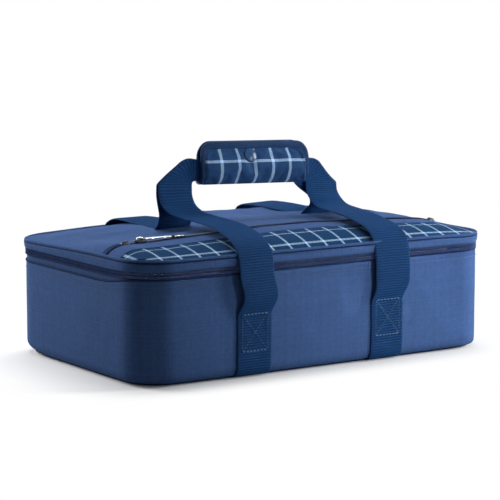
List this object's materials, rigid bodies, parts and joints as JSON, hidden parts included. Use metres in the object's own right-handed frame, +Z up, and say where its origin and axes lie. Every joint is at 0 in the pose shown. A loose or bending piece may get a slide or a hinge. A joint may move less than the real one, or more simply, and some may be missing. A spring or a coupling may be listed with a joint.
{
  "type": "casserole carrier",
  "caption": "Soft insulated carrier for a rectangular casserole dish: padded zip tub, domed hinged lid with a flat zip pocket, and webbing handles joined by a snap grip wrap.",
  "frame": {"origin": "on the floor under the middle of the base", "axes": "+X along the length to the right, +Y to the rear, +Z up; the pocket and the snap cap face -Y"},
  "size_m": [0.4165, 0.2662, 0.2098],
  "materials": {
    "navy_polyester": "woven navy polyester",
    "webbing": "ribbed navy webbing",
    "check_fabric": "slate navy fabric with a light blue windowpane check",
    "dark_trim": "dark navy piping and binding",
    "zip_tape": "dark woven zipper tape",
    "zip_coil": "nylon coil",
    "lining": "thin pocket lining",
    "foil_liner": "aluminised film",
    "foam": "closed cell foam",
    "stiffener_board": "plastic board",
    "gunmetal": "dark plated zinc",
    "silver_metal": "bright plated metal",
    "snap_enamel": "glossy navy enamel"
  },
  "bodies": {
    "tub": {"base_panel": "navy_polyester", "base_piping": "dark_trim", "base_board": "stiffener_board", "base_foam": "foam", "side_wall": "navy_polyester", "wall_foam": "foam", "tub_liner": "foil_liner", "lower_zip_tape": "zip_tape", "lower_zip_coil": "zip_coil", "rear_hinge_panel": "navy_polyester", "zip_stop_left": "gunmetal", "zip_stop_right": "gunmetal", "front_left_anchor": "webbing", "front_right_anchor": "webbing", "rear_left_anchor": "webbing", "rear_right_anchor": "webbing"},
    "lid": {"upper_zip_tape": "zip_tape", "upper_zip_coil": "zip_coil", "lid_band": "navy_polyester", "lid_piping": "navy_polyester", "lid_liner": "foil_liner", "lid_foam": "foam", "pocket_lining": "lining", "pocket_panel": "check_fabric", "pocket_hem": "navy_polyester", "lid_panel": "navy_polyester", "pocket_tape_front": "zip_tape", "pocket_tape_rear": "zip_tape", "pocket_coil_front": "zip_coil", "pocket_coil_rear": "zip_coil", "pocket_stop_left": "gunmetal", "pocket_stop_right": "gunmetal"},
    "pocket_slider": {"pocket_slider": "gunmetal"},
    "pocket_pull": {"pocket_pull": "silver_metal"},
    "main_slider": {"main_slider": "gunmetal"},
    "main_pull": {"main_pull": "silver_metal"},
    "front_handle": {"front_handle_webbing": "webbing"},
    "rear_handle": {"rear_handle_webbing": "webbing", "grip_back_pad": "check_fabric", "grip_back_binding": "dark_trim", "snap_post": "snap_enamel", "snap_stud": "silver_metal"},
    "grip_flap": {"grip_flap_pad": "check_fabric", "grip_flap_binding": "dark_trim", "snap_cap": "snap_enamel", "snap_socket": "silver_metal"}
  },
  "joints": [
    {"name": "lid_hinge", "type": "hinge", "parent": "tub", "child": "lid", "pos_m": [0, 0.1255, 0.1036], "axis": [-1, 0, 0], "range_deg": [0, 95], "deforming": ["rear_hinge_panel"]},
    {"name": "front_handle_swing", "type": "hinge", "parent": "tub", "child": "front_handle", "pos_m": [0, -0.1283, 0.0626], "axis": [1, 0, 0], "range_deg": [0, 142.5], "deforming": ["front_handle_webbing"]},
    {"name": "rear_handle_swing", "type": "hinge", "parent": "tub", "child": "rear_handle", "pos_m": [0, 0.1283, 0.0626], "axis": [-1, 0, 0], "range_deg": [0, 142.5], "deforming": ["rear_handle_webbing"]},
    {"name": "grip_flap_open", "type": "hinge", "parent": "rear_handle", "child": "grip_flap", "pos_m": [0, -0.0042, 0.1658], "axis": [1, 0, 0], "range_deg": [0, 95]},
    {"name": "pocket_slide", "type": "slide", "parent": "lid", "child": "pocket_slider", "axis": [1, 0, 0], "range_m": [0, 0.33]},
    {"name": "pocket_pull_turn", "type": "hinge", "parent": "pocket_slider", "child": "pocket_pull", "pos_m": [-0.165, -0.057, 0.12907], "axis": [0, -1, 0], "range_deg": [0, 170]},
    {"name": "main_slide", "type": "slide", "parent": "tub", "child": "main_slider", "axis": [0, -1, 0], "range_m": [0, 0.128]},
    {"name": "main_pull_turn", "type": "hinge", "parent": "main_slider", "child": "main_pull", "pos_m": [0.2071, 0.064, 0.1036], "axis": [0, 0, 1], "range_deg": [0, 170]}
  ],
  "couplings": [
    {"joint": "front_handle_swing", "follows": "lid_hinge", "ratio": 1.5},
    {"joint": "rear_handle_swing", "follows": "lid_hinge", "ratio": 1.5},
    {"joint": "grip_flap_open", "follows": "lid_hinge", "ratio": 1}
  ]
}
